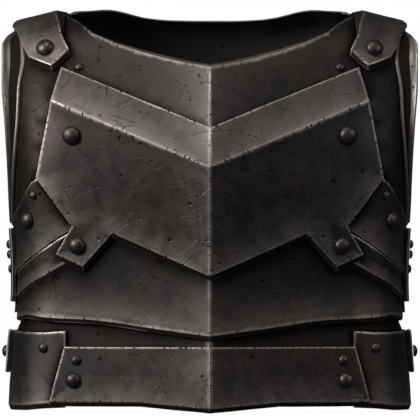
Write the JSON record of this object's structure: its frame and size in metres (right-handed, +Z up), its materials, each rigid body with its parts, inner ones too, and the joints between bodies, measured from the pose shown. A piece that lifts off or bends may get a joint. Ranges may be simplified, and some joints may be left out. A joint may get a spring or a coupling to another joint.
{
  "type": "steel breastplate with its backplate",
  "caption": "Dark forged steel cuirass: keeled breastplate and backplate with riveted chest plate, shoulder straps, armhole collars and hip belt.",
  "frame": {"origin": "middle of the stance, on the surface that the hip plates stand on", "axes": "+Z up, -Y the front with its keel, +X the wearer's left"},
  "size_m": [0.4362, 0.2841, 0.4255],
  "materials": {
    "shell_steel": "blackened, pitted, with bright worn edges",
    "plate_steel": "blackened, pitted, with bright worn edges",
    "band_steel": "blackened, dull",
    "strap_steel": "worn, grey, with brown chips along the edges",
    "rivet_steel": "worn on the domes, brown round the rims"
  },
  "bodies": {
    "root": {"breast_shell": "shell_steel", "back_shell": "shell_steel", "chest_plate": "plate_steel", "waist_band": "band_steel", "waist_band_back": "band_steel", "belt_front_plate": "plate_steel", "belt_back_plate": "plate_steel", "flank_plate_left": "plate_steel", "flank_plate_right": "plate_steel", "flank_band_left": "plate_steel", "flank_band_right": "plate_steel", "flank_back_plate_left": "plate_steel", "flank_back_plate_right": "plate_steel", "shoulder_strap_left": "strap_steel", "shoulder_strap_right": "strap_steel", "arm_collar_left": "strap_steel", "arm_collar_right": "strap_steel", "side_clasp_left": "strap_steel", "side_clasp_right": "strap_steel", "hip_plate_left": "plate_steel", "hip_plate_right": "plate_steel", "hip_lug_left": "strap_steel", "hip_lug_right": "strap_steel", "strap_rivet_left": "rivet_steel", "strap_rivet_right": "rivet_steel", "chest_rivet_left": "rivet_steel", "chest_rivet_right": "rivet_steel", "tab_rivet_left": "rivet_steel", "tab_rivet_right": "rivet_steel", "flank_rivet_left": "rivet_steel", "flank_rivet_right": "rivet_steel", "flank_small_rivet_left": "rivet_steel", "flank_small_rivet_right": "rivet_steel", "neck_rivet_left": "rivet_steel", "neck_rivet_right": "rivet_steel", "clasp_upper_rivet_left": "rivet_steel", "clasp_upper_rivet_right": "rivet_steel", "clasp_lower_rivet_left": "rivet_steel", "clasp_lower_rivet_right": "rivet_steel", "clasp_back_rivet_left": "rivet_steel", "clasp_back_rivet_right": "rivet_steel", "strap_back_rivet_left": "rivet_steel", "strap_back_rivet_right": "rivet_steel", "hip_rivet_left": "rivet_steel", "hip_rivet_right": "rivet_steel", "belt_small_rivet_left": "rivet_steel", "belt_small_rivet_right": "rivet_steel", "belt_rivet_left": "rivet_steel", "belt_rivet_right": "rivet_steel", "belt_back_rivet_left": "rivet_steel", "belt_back_rivet_right": "rivet_steel", "lug_rivet_left": "rivet_steel", "lug_rivet_right": "rivet_steel"}
  },
  "joints": []
}
